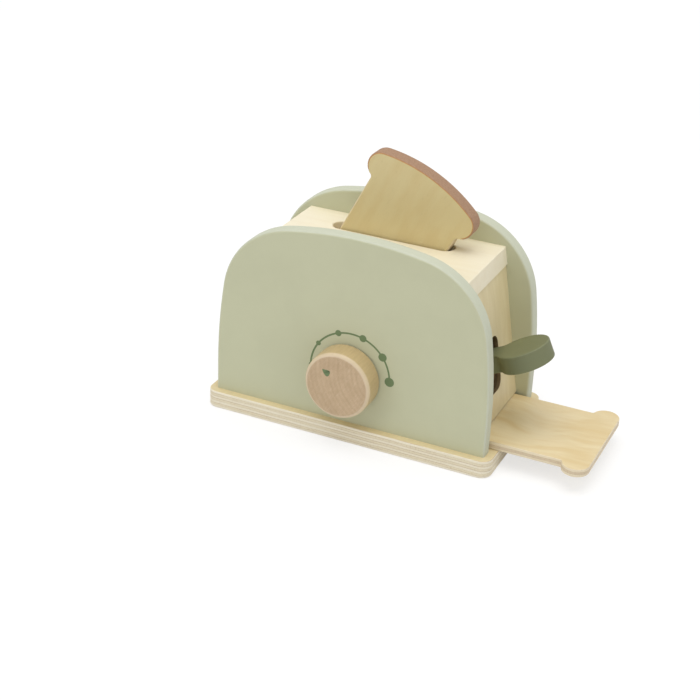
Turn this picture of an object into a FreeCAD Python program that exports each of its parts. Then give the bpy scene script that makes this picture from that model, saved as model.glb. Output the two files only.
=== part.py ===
import FreeCAD, Part
import Sketcher
import math
import os
import re

# Wooden toy toaster. Millimetres, +Z up. The origin is the centre of the base's underside,
# +X runs along the body towards the lever and the tray's grip, and +Y runs to the back.

SIZES = {
    # The plywood base and the two painted side boards
    "base_length": (200, "base plate, along the body"),
    "base_width": (104, "base plate, front to back"),
    "base_thick": (12, "base plate, thickness of the plywood"),
    "base_corner": (7.5, "base plate, corner radius in plan"),
    "base_ease": (0.8, "base plate, rounding of the long edges"),
    "panel_length": (189.4, "front and back panels, length at the base"),
    "panel_height": (127, "front and back panels, from the base to the crown"),
    "panel_thick": (10, "front and back panels, board thickness"),
    "panel_gap": (73.2, "clear width between the two panels"),
    "panel_lean_radius": (376, "panel outline, long arc above the straight end"),
    "panel_lean_angle": (8.7, "panel outline, angle that the long arc turns"),
    "panel_corner_radius": (54.4, "panel outline, shoulder radius"),
    "panel_corner_angle": (79.6, "panel outline, angle where the shoulder meets the crown"),
    "panel_ease": (1.8, "front and back panels, rounding of the edges"),
    # The solid wood top with its two slots
    "top_height": (118.8, "upper face of the top above the table"),
    "top_thick": (12, "top, thickness"),
    "top_length": (139.2, "top, length of its upper face"),
    "top_ease": (0.8, "top, rounding of its edges and of the slots"),
    "slot_length": (85, "bread slot, length"),
    "slot_width": (14.2, "bread slot, width"),
    "slot_offset": (15.9, "bread slot, centre line from the middle of the body"),
    # The end walls, which lean out towards the base
    "wall_tilt": (9.9, "end walls, lean from the vertical in degrees"),
    "wall_thick": (10, "end walls, board thickness"),
    "wall_inset": (0.8, "end walls, step back under the edge of the top"),
    "opening_width": (22.4, "lever opening, width"),
    "opening_low": (33.7, "lever opening, lower edge above the table"),
    "opening_high": (70.1, "lever opening, upper edge above the table"),
    "opening_corner": (7, "lever opening, corner radius"),
    # Inside
    "floor_thick": (3, "inner floor over the tray"),
    "rail_height": (26, "centre rail under the top"),
    "rail_gap": (0.8, "centre rail, set back from the slots"),
    "guide_height": (18, "side guides under the top"),
    "guide_end_gap": (1.6, "side guides, least clearance from the end walls"),
    "guide_gap": (0.8, "side guides, set back from the slots"),
    "rest_width": (10, "bread rest, width"),
    "rest_place": (-24, "bread rest, centre along the body"),
    # The crumb tray
    "tray_length": (170, "tray, overall length"),
    "tray_width": (68, "tray, width of its blade"),
    "tray_thick": (5.5, "tray, thickness"),
    "tray_reach": (158.1, "tray, outer end from the middle of the body as it rests"),
    "tray_float": (0.05, "tray, running clearance on the base"),
    "tray_clear": (0.45, "tray, clearance under the wall and the inner floor"),
    "tray_corner": (5, "tray, radius of its inner corners"),
    "tray_ease": (0.6, "tray, rounding of its edges"),
    "ear_radius": (8.8, "tray ears, radius"),
    "ear_span": (83, "tray ears, overall width"),
    "ear_fillet": (1.5, "tray ears, fillet where they leave the blade"),
    # The lever, its pivot and its lift bar
    "lever_thick": (12, "lever, thickness"),
    "neck_width": (16.5, "lever, width of its neck"),
    "paddle_length": (34.6, "lever paddle, length of the oval"),
    "paddle_width": (36, "lever paddle, width of the oval"),
    "paddle_reach": (28.3, "lever paddle, centre of the oval from the pivot"),
    "paddle_fillet": (5, "lever, fillet from the neck to the paddle"),
    "lever_ease": (0.9, "lever, rounding of its edges"),
    "lever_angle": (25, "lever, how far the paddle stands up at rest, in degrees"),
    "pivot_height": (53.1, "pivot, above the table"),
    "pivot_diameter": (5, "pivot dowel, diameter"),
    "pivot_play": (0.08, "pivot hole in the lever, extra radius"),
    "lever_rest_gap": (0.05, "lever nose, gap over the inner floor at rest"),
    "bar_diameter": (7, "lift bar, diameter"),
    "bar_length": (58, "lift bar, length"),
    # The knob
    "knob_diameter": (44.8, "knob, diameter"),
    "knob_thick": (16.4, "knob, thickness"),
    "knob_ease": (3, "knob, rounding of the front edge"),
    "knob_back_ease": (0.5, "knob, rounding of the back edge"),
    "knob_height": (45.2, "knob, axis above the table"),
    "spacer_thick": (0.8, "knob spacer, thickness"),
    "spacer_diameter": (16, "knob spacer, diameter"),
    "washer_thick": (1, "knob washer, thickness"),
    "washer_diameter": (12, "knob washer, diameter"),
    "bolt_diameter": (3.6, "knob screw, shank"),
    "bolt_play": (0.08, "knob screw, extra radius of the holes that it turns in"),
    "bolt_grip": (11, "knob screw, depth in the knob"),
    "bolt_head": (8, "knob screw, head diameter"),
    "bolt_head_thick": (2.6, "knob screw, head height"),
    "drive_size": (2, "screw drive, across the cross"),
    "drive_depth": (1.2, "screw drive, depth"),
    # The wooden slice
    "bread_width": (67.1, "slice, width of its body"),
    "loaf_width": (81.4, "slice, width over its lobes"),
    "bread_height": (83.7, "slice, from its foot to its crown"),
    "bread_thick": (11.5, "slice, thickness"),
    "bread_corner": (6, "slice, radius of its bottom corners"),
    "lobe_radius": (9.8, "slice, radius of each lobe"),
    "lobe_height": (68.7, "slice, centre of each lobe above its foot"),
    "waist_fillet": (2.4, "slice, fillet under each lobe"),
    "bread_ease": (1.3, "slice, rounding of its edges"),
    "bread_tilt": (27, "slice, lean to the right in degrees"),
    "bread_side_gap": (2.3, "slice, gap to the round end of the slot at its lower corner"),
    "bread_back_gap": (1.3, "slice, gap to the back edge of the slot"),
    "bread_right_gap": (2.4, "slice, gap to the upper edge of the slot's right end"),
    # Dowels and screws
    "dowel_diameter": (6, "hidden dowels, diameter"),
    "dowel_length": (20, "hidden dowels, length"),
    "dowel_depth": (6, "hidden dowels, depth in the panel"),
    "dowel_top_place": (56, "dowels in the top, from the middle of the body"),
    "dowel_top_drop": (6, "dowels in the top, below its upper face"),
    "dowel_wall_height": (88, "dowels in the end walls, above the table"),
    "screw_diameter": (3.5, "base screws, shank"),
    "screw_length": (30, "base screws, length"),
    "screw_head": (7, "base screws, head diameter"),
    "screw_spacing": (72, "base screws, spacing along the panels"),
    "screw_wall_place": (22, "base screws in the left wall, from the middle"),
}

doc = FreeCAD.newDocument("ToyToaster")
sheet = doc.addObject("Spreadsheet::Sheet", "Dims")
for row, (alias, (number, note)) in enumerate(SIZES.items(), 1):
    sheet.set(f"A{row}", note)
    sheet.set(f"B{row}", str(number))
    sheet.setAlias(f"B{row}", alias)
doc.recompute()

# Places that follow from the sizes, as expressions of the sheet's names
PANEL_IN = "(panel_gap / 2)"
PANEL_OUT = "(panel_gap / 2 + panel_thick)"
PANEL_MID = "(panel_gap / 2 + panel_thick / 2)"
TOP_UNDER = "(top_height - top_thick)"
TILT = "(wall_tilt * 1 deg)"
FLOOR_UNDER = "(base_thick + tray_float + tray_thick + tray_clear)"
FLOOR_TOP = f"({FLOOR_UNDER} + floor_thick)"
WALL_ROOT = "(top_length / 2 - wall_inset)"
SLOT_IN = "(slot_offset - slot_width / 2)"
SLOT_OUT = "(slot_offset + slot_width / 2)"
BLADE_UNDER = "(base_thick + tray_float)"
BOLT_REACH = "(bolt_grip + spacer_thick + panel_thick + washer_thick)"
MARGIN = 1.0


def bound(text):
    """Return the expression with each size read from the sheet."""
    names = "|".join(sorted(SIZES, key=len, reverse=True))
    return re.sub(rf"\b({names})\b", r"Dims.\1", text)


def value(text):
    """Return the number that an expression of the sizes stands for."""
    result = sheet.evalExpression(bound(str(text)))
    return float(getattr(result, "Value", result))


def wall_outer(height):
    """Return the expression of the end wall's outer face at a height."""
    return f"({WALL_ROOT} + (top_height - ({height})) * tan({TILT}))"


def wall_inner(height):
    """Return the expression of the end wall's inner face at a height."""
    return f"({wall_outer(height)} - wall_thick / cos({TILT}))"


def wall_middle(height):
    """Return the expression of the end wall's mid-plane at a height."""
    return f"({wall_outer(height)} - wall_thick / cos({TILT}) / 2)"


def new_body(name):
    """Return an empty PartDesign body that carries the sub-part's name."""
    body = doc.addObject("PartDesign::Body", name)
    body.Label = name
    return body


def new_sketch(body, name, role, offset="0"):
    """Return a sketch on one of the body's origin planes, moved along its normal."""
    sketch = body.newObject("Sketcher::SketchObject", name)
    base = next(item for item in body.Origin.OriginFeatures if item.Role == role)
    sketch.AttachmentSupport = [(base, "")]
    sketch.MapMode = "FlatFace"
    sketch.setExpression("AttachmentOffset.Base.z", bound(offset))
    return sketch


def lock(sketch, geometry, point, x_text, y_text):
    """Tie a point of the sketch to two expressions."""
    for kind, text in (("DistanceX", x_text), ("DistanceY", y_text)):
        number = sketch.addConstraint(
            Sketcher.Constraint(kind, -1, 1, geometry, point, value(text)))
        sketch.setExpression(f"Constraints[{number}]", bound(text))


def add_polygon(sketch, corners):
    """Draw a closed outline of straight lines through corners given as expressions."""
    points = [FreeCAD.Vector(value(x), value(y), 0) for x, y in corners]
    first = sketch.GeometryCount
    count = len(points)
    for index in range(count):
        line = Part.LineSegment(points[index], points[(index + 1) % count])
        sketch.addGeometry(line, False)
    for index in range(count):
        following = first + (index + 1) % count
        sketch.addConstraint(Sketcher.Constraint("Coincident", first + index, 2, following, 1))
    for index, (x_text, y_text) in enumerate(corners):
        lock(sketch, first + index, 1, x_text, y_text)


def add_rectangle(sketch, x_low, x_high, y_low, y_high):
    """Draw a rectangle whose four sides are expressions."""
    add_polygon(sketch, [(x_low, y_low), (x_high, y_low), (x_high, y_high), (x_low, y_high)])


def add_circle(sketch, x_text, y_text, radius):
    """Draw a circle whose centre and radius are expressions."""
    centre = FreeCAD.Vector(value(x_text), value(y_text), 0)
    circle = Part.Circle(centre, FreeCAD.Vector(0, 0, 1), value(radius))
    number = sketch.addGeometry(circle, False)
    lock(sketch, number, 3, x_text, y_text)
    index = sketch.addConstraint(Sketcher.Constraint("Radius", number, value(radius)))
    sketch.setExpression(f"Constraints[{index}]", bound(radius))


def add_slot(sketch, y_text, length, width):
    """Draw a slot with round ends, centred on x = 0, from expressions."""
    half = f"({length} / 2 - {width} / 2)"
    run, radius, middle = value(half), value(f"{width} / 2"), value(y_text)
    up = FreeCAD.Vector(0, 0, 1)
    right = Part.Circle(FreeCAD.Vector(run, middle, 0), up, radius)
    left = Part.Circle(FreeCAD.Vector(-run, middle, 0), up, radius)
    quarter = math.pi / 2
    first = sketch.GeometryCount
    sketch.addGeometry(Part.ArcOfCircle(right, -quarter, quarter), False)
    sketch.addGeometry(Part.LineSegment(
        FreeCAD.Vector(run, middle + radius, 0), FreeCAD.Vector(-run, middle + radius, 0)), False)
    sketch.addGeometry(Part.ArcOfCircle(left, quarter, 3 * quarter), False)
    sketch.addGeometry(Part.LineSegment(
        FreeCAD.Vector(-run, middle - radius, 0), FreeCAD.Vector(run, middle - radius, 0)), False)
    for index in range(4):
        following = first + (index + 1) % 4
        sketch.addConstraint(Sketcher.Constraint("Tangent", first + index, 2, following, 1))
    lock(sketch, first, 3, half, y_text)
    lock(sketch, first + 2, 3, f"-{half}", y_text)
    index = sketch.addConstraint(Sketcher.Constraint("Radius", first, radius))
    sketch.setExpression(f"Constraints[{index}]", bound(f"{width} / 2"))


def add_traced(sketch, curves):
    """Draw a closed outline of lines and arcs that the code worked out from the sheet."""
    first = sketch.GeometryCount
    for curve in curves:
        sketch.addGeometry(curve, False)
    for index in range(len(curves)):
        sketch.addConstraint(Sketcher.Constraint("Block", first + index))


def finish_feature(feature, sketch, size):
    """Give a pad or pocket its profile and its length."""
    feature.Profile = sketch
    feature.setExpression("Length", bound(size))
    sketch.Visibility = False
    doc.recompute()
    return feature


def pad(body, sketch, length):
    """Extrude the sketch along its normal."""
    return finish_feature(body.newObject("PartDesign::Pad", "Pad"), sketch, length)


def pocket(body, sketch, length):
    """Cut the sketch into the body against its normal, and check that it cut something."""
    before = body.Shape.Volume
    feature = finish_feature(body.newObject("PartDesign::Pocket", "Pocket"), sketch, length)
    if body.Shape.Volume >= before:
        raise RuntimeError(f"{body.Label}: {sketch.Label} cuts nothing")
    return feature


def dress(body, kind, size_name, size, test):
    """Fillet or chamfer the edges of the body that pass the test."""
    base = body.Tip
    chosen = [f"Edge{number}" for number, edge in enumerate(base.Shape.Edges, 1) if test(edge)]
    if not chosen:
        raise RuntimeError(f"{body.Label}: no edge for {kind}")
    feature = body.newObject(f"PartDesign::{kind}", kind)
    feature.Base = (base, chosen)
    feature.setExpression(size_name, bound(size))
    doc.recompute()
    return feature


def fillet(body, radius, test):
    """Round the edges of the body that pass the test."""
    return dress(body, "Fillet", "Radius", radius, test)


def along(edge, axis):
    """Tell whether a straight edge runs along an axis, given as 0, 1 or 2."""
    if not isinstance(edge.Curve, Part.Line):
        return False
    return abs(abs(edge.Curve.Direction[axis]) - 1) < 1e-6


def lies_at(edge, axis, place):
    """Tell whether the whole edge lies in the plane where an axis has one value."""
    ends = edge.BoundBox
    low = (ends.XMin, ends.YMin, ends.ZMin)[axis]
    high = (ends.XMax, ends.YMax, ends.ZMax)[axis]
    return abs(low - place) < 1e-3 and abs(high - place) < 1e-3


def new_box(name, low, size):
    """Return a plain board, from its low corner and its size as expressions."""
    box = doc.addObject("Part::Box", name)
    box.Label = name
    for field, text in zip(("Length", "Width", "Height"), size):
        box.setExpression(field, bound(text))
    for axis, text in zip("xyz", low):
        box.setExpression(f"Placement.Base.{axis}", bound(text))
    return box


def mirrored_box(name, side, low, size):
    """Return a board on the front (-1) or back (+1) side of the body's middle."""
    x_low, y_near, z_low = low
    y_low = y_near if side > 0 else f"(0 - {y_near} - {size[1]})"
    return new_box(name, (x_low, y_low, z_low), size)


def new_dowel(name, radius, length, x_text, y_text, z_text):
    """Return a round bar that runs towards +Y from its start."""
    bar = doc.addObject("Part::Cylinder", name)
    bar.Label = name
    bar.setExpression("Radius", bound(radius))
    bar.setExpression("Height", bound(length))
    bar.Placement.Rotation = FreeCAD.Rotation(FreeCAD.Vector(1, 0, 0), -90)
    for axis, text in zip("xyz", (x_text, y_text, z_text)):
        bar.setExpression(f"Placement.Base.{axis}", bound(text))
    return bar


def new_group(name, solids):
    """Return one sub-part made of several like solids that stay separate."""
    group = doc.addObject("Part::Compound", name)
    group.Label = name
    group.Links = solids
    return group


def panel_outline():
    """Return the panel's outline in X and Z: straight ends, lean, shoulder and crown arcs."""
    half, height = value("panel_length / 2"), value("panel_height")
    foot = value("base_thick")
    lean, shoulder = value("panel_lean_radius"), value("panel_corner_radius")
    low = math.radians(value("panel_lean_angle"))
    high = math.radians(value("panel_corner_angle"))
    crown = (half - lean * (1 - math.cos(low))
             - shoulder * (math.cos(low) - math.cos(high))) / math.cos(high)
    rise = (lean * math.sin(low) + shoulder * (math.sin(high) - math.sin(low))
            + crown * (1 - math.sin(high)))
    start = foot + height - rise
    up = FreeCAD.Vector(0, 0, 1)
    centres = [(half - lean, start)]
    centres.append((centres[0][0] + (lean - shoulder) * math.cos(low),
                    centres[0][1] + (lean - shoulder) * math.sin(low)))
    centres.append((0.0, foot + height - crown))
    right = Part.Circle(FreeCAD.Vector(*centres[0], 0), up, lean)
    corner = Part.Circle(FreeCAD.Vector(*centres[1], 0), up, shoulder)
    top = Part.Circle(FreeCAD.Vector(*centres[2], 0), up, crown)
    left_corner = Part.Circle(FreeCAD.Vector(-centres[1][0], centres[1][1], 0), up, shoulder)
    left = Part.Circle(FreeCAD.Vector(-centres[0][0], centres[0][1], 0), up, lean)
    feet = [FreeCAD.Vector(-half, foot, 0), FreeCAD.Vector(half, foot, 0)]
    ends = [FreeCAD.Vector(half, start, 0), FreeCAD.Vector(-half, start, 0)]
    return [
        Part.LineSegment(feet[0], feet[1]),
        Part.LineSegment(feet[1], ends[0]),
        Part.ArcOfCircle(right, 0, low),
        Part.ArcOfCircle(corner, low, high),
        Part.ArcOfCircle(top, high, math.pi - high),
        Part.ArcOfCircle(left_corner, math.pi - high, math.pi - low),
        Part.ArcOfCircle(left, math.pi - low, math.pi),
        Part.LineSegment(ends[1], feet[0]),
    ]


PIVOT_PLACE = wall_middle("pivot_height")
DOWEL_TOP = "(top_height - dowel_top_drop)"
DOWEL_SPOTS = [
    ("dowel_top_place", DOWEL_TOP),
    ("(0 - dowel_top_place)", DOWEL_TOP),
    (wall_middle("dowel_wall_height"), "dowel_wall_height"),
    (f"(0 - {wall_middle('dowel_wall_height')})", "dowel_wall_height"),
]
SCREW_SPOTS = [(f"({step} * screw_spacing)", f"({side} * {PANEL_MID})")
               for side in (-1, 1) for step in (-1, 0, 1)]
WALL_SCREWS = [(f"(0 - {wall_middle('base_thick')})", f"({side} * screw_wall_place)")
               for side in (-1, 1)]


def make_panel(name, side):
    """Return the front (-1) or back (+1) panel with its blind holes."""
    body = new_body(name)
    near = PANEL_IN if side < 0 else f"(0 - {PANEL_OUT})"
    outline = new_sketch(body, "Outline", "XZ_Plane", near)
    add_traced(outline, panel_outline())
    pad(body, outline, "panel_thick")
    faces = [side * value(PANEL_IN), side * value(PANEL_OUT)]
    foot = value("base_thick")
    fillet(body, "panel_ease", lambda edge: not lies_at(edge, 2, foot)
           and any(lies_at(edge, 1, face) for face in faces))
    # A pocket on this plane cuts towards +Y, so it starts at the hole's front end.
    start = f"({PANEL_IN} + dowel_depth)" if side < 0 else f"(0 - {PANEL_IN})"
    for number, (x_text, z_text) in enumerate(DOWEL_SPOTS, 1):
        hole = new_sketch(body, f"Blind{number}", "XZ_Plane", start)
        add_circle(hole, x_text, z_text, "dowel_diameter / 2")
        pocket(body, hole, "dowel_depth")
    for number, (x_text, y_text) in enumerate(SCREW_SPOTS, 1):
        if value(y_text) * side < 0:
            continue
        depth = "screw_length - base_thick"
        pilot = new_sketch(body, f"Pilot{number}", "XY_Plane", "screw_length")
        add_circle(pilot, x_text, y_text, "screw_diameter / 2")
        pocket(body, pilot, depth)
    if side < 0:
        shaft = new_sketch(body, "KnobHole", "XZ_Plane", f"({PANEL_OUT} + {MARGIN})")
        add_circle(shaft, "0", "knob_height", "bolt_diameter / 2 + bolt_play")
        pocket(body, shaft, f"panel_thick + 2 * {MARGIN}")
    return body


def make_base():
    """Return the base plate with its countersunk screw holes."""
    body = new_body("base_plate")
    plan = new_sketch(body, "Plan", "XY_Plane")
    add_rectangle(plan, "-base_length / 2", "base_length / 2", "-base_width / 2", "base_width / 2")
    pad(body, plan, "base_thick")
    fillet(body, "base_corner", lambda edge: along(edge, 2))
    fillet(body, "base_ease", lambda edge: lies_at(edge, 2, 0)
           or lies_at(edge, 2, value("base_thick")))
    for number, (x_text, y_text) in enumerate(SCREW_SPOTS + WALL_SCREWS, 1):
        hole = new_sketch(body, f"Screw{number}", "XY_Plane", "base_thick")
        add_circle(hole, x_text, y_text, "screw_diameter / 2")
        pocket(body, hole, "base_thick")
    limit = value("screw_diameter") / 2 + 1e-3
    dress(body, "Chamfer", "Size", "(screw_head - screw_diameter) / 2",
          lambda edge: lies_at(edge, 2, 0) and isinstance(edge.Curve, Part.Circle)
          and edge.Curve.Radius < limit)
    return body


def make_top():
    """Return the top with its bevelled ends, two bread slots and dowel holes."""
    body = new_body("top_panel")
    profile = new_sketch(body, "Profile", "XZ_Plane", f"(0 - {PANEL_IN})")
    wide = f"(top_length / 2 + top_thick * tan({TILT}))"
    add_polygon(profile, [
        ("-top_length / 2", "top_height"), (f"(0 - {wide})", TOP_UNDER),
        (wide, TOP_UNDER), ("top_length / 2", "top_height")])
    pad(body, profile, "panel_gap")
    for number, side in enumerate((1, -1), 1):
        slot = new_sketch(body, f"Slot{number}", "XY_Plane", "top_height")
        add_slot(slot, f"({side} * slot_offset)", "slot_length", "slot_width")
        pocket(body, slot, "top_thick")
    half_gap = value(PANEL_IN)
    fillet(body, "top_ease", lambda edge: lies_at(edge, 2, value("top_height"))
           and not lies_at(edge, 1, half_gap) and not lies_at(edge, 1, -half_gap))
    drill_ends(body, DOWEL_SPOTS[:2])
    return body


def drill_ends(body, spots):
    """Drill the dowel holes into the front and back edges of a board."""
    reach = "(dowel_length - dowel_depth)"
    for number, (x_text, z_text) in enumerate(spots, 1):
        for start, label in ((PANEL_IN, "Front"), (f"({reach} - {PANEL_IN})", "Back")):
            hole = new_sketch(body, f"{label}{number}", "XZ_Plane", start)
            add_circle(hole, x_text, z_text, "dowel_diameter / 2")
            pocket(body, hole, reach)


def make_wall(name, side):
    """Return the left (-1) or right (+1) end wall, leaning out towards the base."""
    body = new_body(name)
    low = "base_thick" if side < 0 else FLOOR_UNDER
    profile = new_sketch(body, "Profile", "XZ_Plane", f"(0 - {PANEL_IN})")
    add_polygon(profile, [(f"({side} * {place(height)})", height)
                          for place, height in ((wall_inner, low), (wall_outer, low),
                                                (wall_outer, TOP_UNDER), (wall_inner, TOP_UNDER))])
    pad(body, profile, "panel_gap")
    if side > 0:
        beyond = f"({wall_outer(low)} + {MARGIN})"
        opening = new_sketch(body, "Opening", "YZ_Plane", beyond)
        add_rectangle(opening, "-opening_width / 2", "opening_width / 2",
                      "opening_low", "opening_high")
        pocket(body, opening, f"{beyond} - {wall_inner(TOP_UNDER)} + {MARGIN}")
        edge_of_opening = value("opening_width / 2")
        fillet(body, "opening_corner", lambda edge: along(edge, 0)
               and abs(abs(edge.CenterOfMass.y) - edge_of_opening) < 1e-3)
        drill_ends(body, [DOWEL_SPOTS[2]])
        axle = new_sketch(body, "PivotHole", "XZ_Plane", PANEL_IN)
        add_circle(axle, PIVOT_PLACE, "pivot_height", "pivot_diameter / 2")
        pocket(body, axle, "panel_gap")
    else:
        drill_ends(body, [DOWEL_SPOTS[3]])
        for number, (x_text, y_text) in enumerate(WALL_SCREWS, 1):
            pilot = new_sketch(body, f"Pilot{number}", "XY_Plane", "screw_length")
            add_circle(pilot, x_text, y_text, "screw_diameter / 2")
            pocket(body, pilot, "screw_length - base_thick")
    return body


def make_inside():
    """Return the inner floor, the centre rail, the two guides and the bread rest."""
    floor_half = wall_inner(FLOOR_TOP)
    rail_half = wall_inner(TOP_UNDER)
    guide_thick = f"({PANEL_IN} - {SLOT_OUT} - guide_gap)"
    guide_low = f"({TOP_UNDER} - guide_height)"
    guide_near = f"({SLOT_OUT} + guide_gap)"
    guide_end = "(top_length / 2 - wall_thick - guide_end_gap)"
    rest_height = "(lever_thick / 2 + bar_diameter / 2)"
    return [
        new_box("inner_floor", (f"(0 - {floor_half})", f"(0 - {PANEL_IN})", FLOOR_UNDER),
                (f"2 * {floor_half}", "panel_gap", "floor_thick")),
        new_box("centre_rail",
                (f"(0 - {rail_half})", f"(rail_gap - {SLOT_IN})", f"({TOP_UNDER} - rail_height)"),
                (f"2 * {rail_half}", f"2 * ({SLOT_IN} - rail_gap)", "rail_height")),
        mirrored_box("front_guide", -1, (f"(0 - {guide_end})", guide_near, guide_low),
                     (f"(2 * {guide_end})", guide_thick, "guide_height")),
        mirrored_box("back_guide", 1, (f"(0 - {guide_end})", guide_near, guide_low),
                     (f"(2 * {guide_end})", guide_thick, "guide_height")),
        new_box("bread_rest", ("rest_place - rest_width / 2", f"(0 - {PANEL_IN})", FLOOR_TOP),
                ("rest_width", "panel_gap", rest_height)),
    ]


def make_tray():
    """Return the tray: a thin blade with two round ears at its outer end."""
    body = new_body("tray")
    end, half = value("tray_reach"), value("tray_width / 2")
    radius, span = value("ear_radius"), value("ear_span / 2")
    start = end - value("tray_length")
    centre_x, centre_y = end - radius, span - radius
    meet = centre_x - math.sqrt(radius ** 2 - (half - centre_y) ** 2)
    turn = math.asin((half - centre_y) / radius)
    up = FreeCAD.Vector(0, 0, 1)
    back = Part.Circle(FreeCAD.Vector(centre_x, centre_y, 0), up, radius)
    front = Part.Circle(FreeCAD.Vector(centre_x, -centre_y, 0), up, radius)
    corners = [FreeCAD.Vector(start, -half, 0), FreeCAD.Vector(meet, -half, 0),
               FreeCAD.Vector(end, -centre_y, 0), FreeCAD.Vector(end, centre_y, 0),
               FreeCAD.Vector(meet, half, 0), FreeCAD.Vector(start, half, 0)]
    plan = new_sketch(body, "Plan", "XY_Plane", BLADE_UNDER)
    add_traced(plan, [
        Part.LineSegment(corners[0], corners[1]),
        Part.ArcOfCircle(front, math.pi + turn, 2 * math.pi),
        Part.LineSegment(corners[2], corners[3]),
        Part.ArcOfCircle(back, 0, math.pi - turn),
        Part.LineSegment(corners[4], corners[5]),
        Part.LineSegment(corners[5], corners[0]),
    ])
    pad(body, plan, "tray_thick")
    fillet(body, "tray_corner", lambda edge: along(edge, 2)
           and abs(edge.CenterOfMass.x - start) < 1e-3)
    fillet(body, "ear_fillet", lambda edge: along(edge, 2)
           and abs(edge.CenterOfMass.x - meet) < 1e-3)
    low, high = value(BLADE_UNDER), value(f"{BLADE_UNDER} + tray_thick")
    fillet(body, "tray_ease", lambda edge: lies_at(edge, 2, low) or lies_at(edge, 2, high))
    return body


NOSE_REACH = (f"((pivot_height - {FLOOR_TOP} - lever_thick / 2 - lever_rest_gap)"
              " / sin(lever_angle * 1 deg))")


def lever_place(distance):
    """Return a point on the lever's middle line, as the lever rests, from the pivot."""
    angle = math.radians(value("lever_angle"))
    return FreeCAD.Vector(value(PIVOT_PLACE) + distance * math.cos(angle), 0,
                          value("pivot_height") + distance * math.sin(angle))


def make_lever():
    """Return the lever: a flat neck with an oval paddle outside and a round nose inside."""
    body = new_body("lever")
    neck = new_sketch(body, "Neck", "XY_Plane", "(0 - lever_thick / 2)")
    add_rectangle(neck, f"(0 - {NOSE_REACH})", "paddle_reach", "-neck_width / 2", "neck_width / 2")
    pad(body, neck, "lever_thick")
    nose = new_sketch(body, "Nose", "XZ_Plane", "(0 - neck_width / 2)")
    add_circle(nose, f"(0 - {NOSE_REACH})", "0", "lever_thick / 2")
    pad(body, nose, "neck_width")
    paddle = new_sketch(body, "Paddle", "XY_Plane", "(0 - lever_thick / 2)")
    long_half, wide_half = value("paddle_length / 2"), value("paddle_width / 2")
    middle = FreeCAD.Vector(value("paddle_reach"), 0, 0)
    oval = Part.Ellipse(middle + FreeCAD.Vector(0, wide_half, 0),
                        middle - FreeCAD.Vector(long_half, 0, 0), middle)
    paddle.addGeometry(oval, False)
    paddle.addConstraint(Sketcher.Constraint("Block", 0))
    pad(body, paddle, "lever_thick")
    edge_of_neck = value("neck_width / 2")
    fillet(body, "paddle_fillet", lambda edge: edge.BoundBox.ZLength > edge_of_neck
           and edge.BoundBox.XLength < 1e-2 and edge.BoundBox.YLength < 1e-2
           and edge.CenterOfMass.x > 0
           and abs(abs(edge.CenterOfMass.y) - edge_of_neck) < 1e-2)
    faces = [value("-lever_thick / 2"), value("lever_thick / 2")]
    fillet(body, "lever_ease", lambda edge: edge.BoundBox.XMax > 0
           and any(lies_at(edge, 2, face) for face in faces))
    for number, (distance, radius) in enumerate(
            (("0", "pivot_diameter / 2 + pivot_play"), (f"(0 - {NOSE_REACH})", "bar_diameter / 2")), 1):
        hole = new_sketch(body, f"Hole{number}", "XZ_Plane", f"(neck_width / 2 + {MARGIN})")
        add_circle(hole, distance, "0", radius)
        pocket(body, hole, f"neck_width + 2 * {MARGIN}")
    body.Placement = FreeCAD.Placement(
        lever_place(0), FreeCAD.Rotation(FreeCAD.Vector(0, 1, 0), -value("lever_angle")))
    return body


def make_lever_fittings():
    """Return the pivot dowel and the lift bar at the lever's nose."""
    pivot = new_dowel("lever_pivot", "pivot_diameter / 2", "panel_gap", PIVOT_PLACE,
                      f"(0 - {PANEL_IN})", "pivot_height")
    reach = f"({NOSE_REACH} * cos(lever_angle * 1 deg))"
    drop = f"({NOSE_REACH} * sin(lever_angle * 1 deg))"
    bar = new_dowel("lift_bar", "bar_diameter / 2", "bar_length", f"({PIVOT_PLACE} - {reach})",
                    "(0 - bar_length / 2)", f"(pivot_height - {drop})")
    return [pivot, bar]


def make_knob():
    """Return the turned knob, with the blind hole for its screw."""
    body = new_body("knob")
    back = f"({PANEL_OUT} + spacer_thick)"
    disc = new_sketch(body, "Disc", "XZ_Plane", back)
    add_circle(disc, "0", "knob_height", "knob_diameter / 2")
    pad(body, disc, "knob_thick")
    front_face = -value(f"{back} + knob_thick")
    fillet(body, "knob_ease", lambda edge: lies_at(edge, 1, front_face))
    fillet(body, "knob_back_ease", lambda edge: lies_at(edge, 1, -value(back)))
    hole = new_sketch(body, "ScrewHole", "XZ_Plane", f"({back} + bolt_grip)")
    add_circle(hole, "0", "knob_height", "bolt_diameter / 2")
    pocket(body, hole, "bolt_grip")
    return body


def make_ring(name, start, thick, diameter, bore):
    """Return a flat ring on the knob's axis that runs towards the front."""
    body = new_body(name)
    face = new_sketch(body, "Face", "XZ_Plane", start)
    add_circle(face, "0", "knob_height", f"{diameter} / 2")
    add_circle(face, "0", "knob_height", bore)
    pad(body, face, thick)
    return body


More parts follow.
